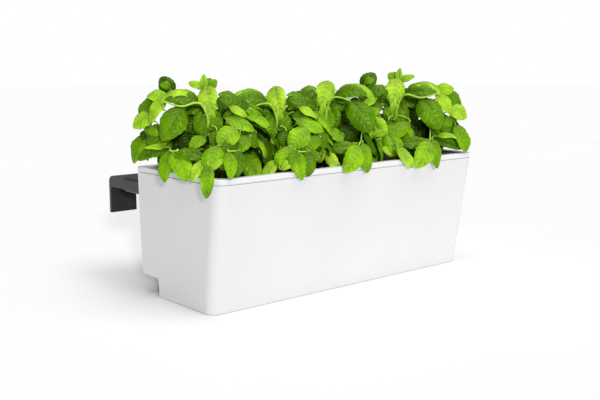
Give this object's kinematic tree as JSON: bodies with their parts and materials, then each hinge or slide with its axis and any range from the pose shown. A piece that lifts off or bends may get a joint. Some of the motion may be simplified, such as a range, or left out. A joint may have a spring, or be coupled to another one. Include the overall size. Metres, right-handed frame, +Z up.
{
  "type": "self watering planter",
  "caption": "Tapered trough planter with water reservoir, lift-out soil liner, wick cups, filler, float gauge, drain plug, leafy herbs and two sliding clamp hooks for a wall or railing.",
  "frame": {"origin": "on the plane of the flat base, under the centre of the whole object's box", "axes": "+X along the trough, +Y to the rear, towards the wall it hangs on, +Z up"},
  "size_m": [0.656, 0.432, 0.355],
  "materials": {
    "white_shell": "high gloss white",
    "white_liner": "semi gloss white",
    "grey_insert": "satin grey",
    "wick_grey": "matte dark grey",
    "soil": "loose damp potting soil",
    "stem_green": "fresh herb stem",
    "leaf_green": "glossy fresh leaf",
    "clear_lens": "clear",
    "float_white": "foam",
    "pointer_red": "gloss red",
    "steel": "brushed",
    "bracket_black": "satin black",
    "pad_rubber": "soft matte"
  },
  "bodies": {
    "planter_shell": {"outer_shell": "white_shell"},
    "liner": {"soil_liner": "white_liner", "wick_cup_left": "wick_grey", "wick_cup_middle": "wick_grey", "wick_cup_right": "wick_grey", "potting_soil": "soil", "filler_tower": "grey_insert", "cover_pivot_pin": "steel", "gauge_lens": "clear_lens", "basil_1_root_ball": "soil", "basil_1_stems": "stem_green", "basil_1_foliage": "leaf_green", "basil_2_root_ball": "soil", "basil_2_stems": "stem_green", "basil_2_foliage": "leaf_green", "basil_3_root_ball": "soil", "basil_3_stems": "stem_green", "basil_3_foliage": "leaf_green", "basil_4_root_ball": "soil", "basil_4_stems": "stem_green", "basil_4_foliage": "leaf_green"},
    "filler_cover": {"filler_cover": "grey_insert"},
    "gauge": {"gauge_float": "float_white", "gauge_rod": "float_white", "gauge_pointer": "pointer_red"},
    "drain_plug": {"drain_plug": "grey_insert", "drain_plug_seal": "pad_rubber"},
    "bracket_left": {"bracket_left": "bracket_black", "wall_pad_left": "pad_rubber"},
    "hook_left": {"hook_left": "bracket_black", "hook_pad_left": "pad_rubber"},
    "clamp_shoe_left": {"clamp_shoe_left": "steel"},
    "clamp_screw_left": {"clamp_screw_left": "bracket_black"},
    "bracket_right": {"bracket_right": "bracket_black", "wall_pad_right": "pad_rubber"},
    "hook_right": {"hook_right": "bracket_black", "hook_pad_right": "pad_rubber"},
    "clamp_shoe_right": {"clamp_shoe_right": "steel"},
    "clamp_screw_right": {"clamp_screw_right": "bracket_black"}
  },
  "joints": [
    {"name": "liner_lift", "type": "slide", "parent": "planter_shell", "child": "liner", "axis": [0, 0, 1], "range_m": [0, 0.2]},
    {"name": "filler_cover_swing", "type": "hinge", "parent": "liner", "child": "filler_cover", "pos_m": [0.236, -0.0075, 0.2055], "axis": [0, 0, 1], "range_deg": [0, 90]},
    {"name": "float_rise", "type": "slide", "parent": "liner", "child": "gauge", "axis": [0, 0, 1], "range_m": [0, 0.033]},
    {"name": "drain_plug_pull", "type": "slide", "parent": "planter_shell", "child": "drain_plug", "axis": [0, 1, 0], "range_m": [0, 0.03]},
    {"name": "bracket_left_unhook", "type": "slide", "parent": "planter_shell", "child": "bracket_left", "axis": [0, 0.7071, -0.7071], "range_m": [0, 0.034]},
    {"name": "hook_left_slide", "type": "slide", "parent": "bracket_left", "child": "hook_left", "axis": [0, 1, 0], "range_m": [-0.052, 0.008]},
    {"name": "clamp_shoe_left_rise", "type": "slide", "parent": "bracket_left", "child": "clamp_shoe_left", "axis": [0, 0, 1], "range_m": [0, 0.0025]},
    {"name": "clamp_screw_left_turn", "type": "hinge", "parent": "clamp_shoe_left", "child": "clamp_screw_left", "pos_m": [-0.219, 0.111, 0.1756], "axis": [0, 0, 1], "range_deg": [0, 720]},
    {"name": "bracket_right_unhook", "type": "slide", "parent": "planter_shell", "child": "bracket_right", "axis": [0, 0.7071, -0.7071], "range_m": [0, 0.034]},
    {"name": "hook_right_slide", "type": "slide", "parent": "bracket_right", "child": "hook_right", "axis": [0, 1, 0], "range_m": [-0.052, 0.008]},
    {"name": "clamp_shoe_right_rise", "type": "slide", "parent": "bracket_right", "child": "clamp_shoe_right", "axis": [0, 0, 1], "range_m": [0, 0.0025]},
    {"name": "clamp_screw_right_turn", "type": "hinge", "parent": "clamp_shoe_right", "child": "clamp_screw_right", "pos_m": [0.219, 0.111, 0.1756], "axis": [0, 0, 1], "range_deg": [0, 720]}
  ],
  "couplings": [
    {"joint": "clamp_shoe_left_rise", "follows": "clamp_screw_left_turn", "m_per_rad": 0.000198},
    {"joint": "clamp_shoe_right_rise", "follows": "clamp_screw_right_turn", "m_per_rad": 0.000198}
  ]
}
